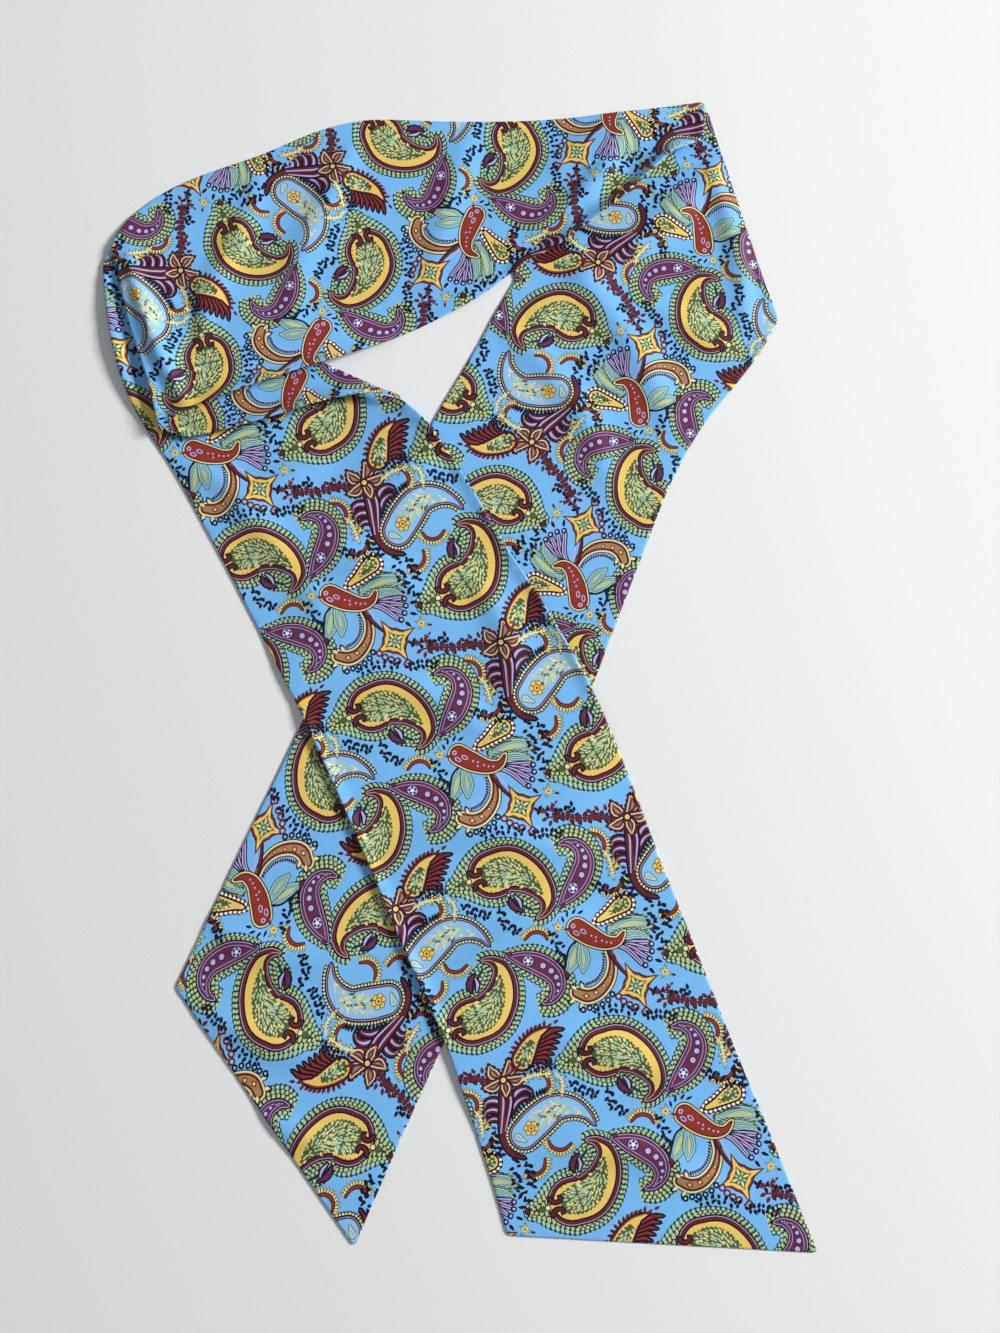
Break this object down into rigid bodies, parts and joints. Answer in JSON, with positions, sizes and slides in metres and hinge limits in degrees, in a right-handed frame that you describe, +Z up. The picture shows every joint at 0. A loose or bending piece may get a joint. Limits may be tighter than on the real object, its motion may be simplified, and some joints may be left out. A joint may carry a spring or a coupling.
{
  "type": "silk neck scarf",
  "caption": "Long narrow printed silk neck scarf with slanted ends, laid flat as a loop with its tails crossed.",
  "frame": {"origin": "middle of the laid scarf's outline, on the table that it lies on", "axes": "+X to the right of the laid scarf, +Y from its cut ends towards its neck, +Z up from the table"},
  "size_m": [0.402, 0.65, 0.0073],
  "materials": {
    "silk": "soft sheen of printed silk twill"
  },
  "bodies": {
    "root": {"under_tail": "silk", "over_tail": "silk", "turn_fold": "silk", "neck_stretch": "silk"}
  },
  "joints": []
}
